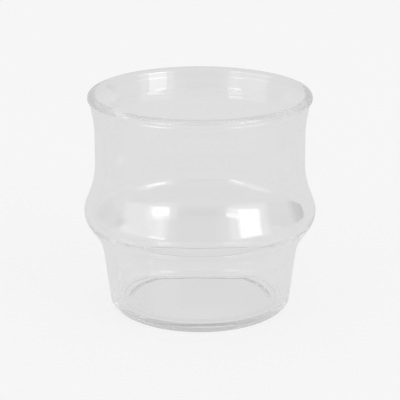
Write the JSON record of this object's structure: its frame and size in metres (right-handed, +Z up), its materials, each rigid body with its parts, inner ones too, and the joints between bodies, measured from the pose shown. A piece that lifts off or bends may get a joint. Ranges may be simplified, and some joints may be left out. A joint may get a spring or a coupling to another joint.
{
  "type": "chai glass",
  "caption": "Clear drinking glass with a flared rounded lip, a hollow bulge low on its body and a narrower foot with a flat standing ring, for chai and other hot drinks.",
  "frame": {"origin": "centre of the circle that the glass stands on, on the table", "axes": "+Z up along the axis of the glass, X and Y any two level directions at right angles"},
  "size_m": [0.08, 0.08, 0.076],
  "materials": {
    "clear_glass": "clear, smooth, fire-polished"
  },
  "bodies": {
    "root": {"glass_body": "clear_glass"}
  },
  "joints": []
}
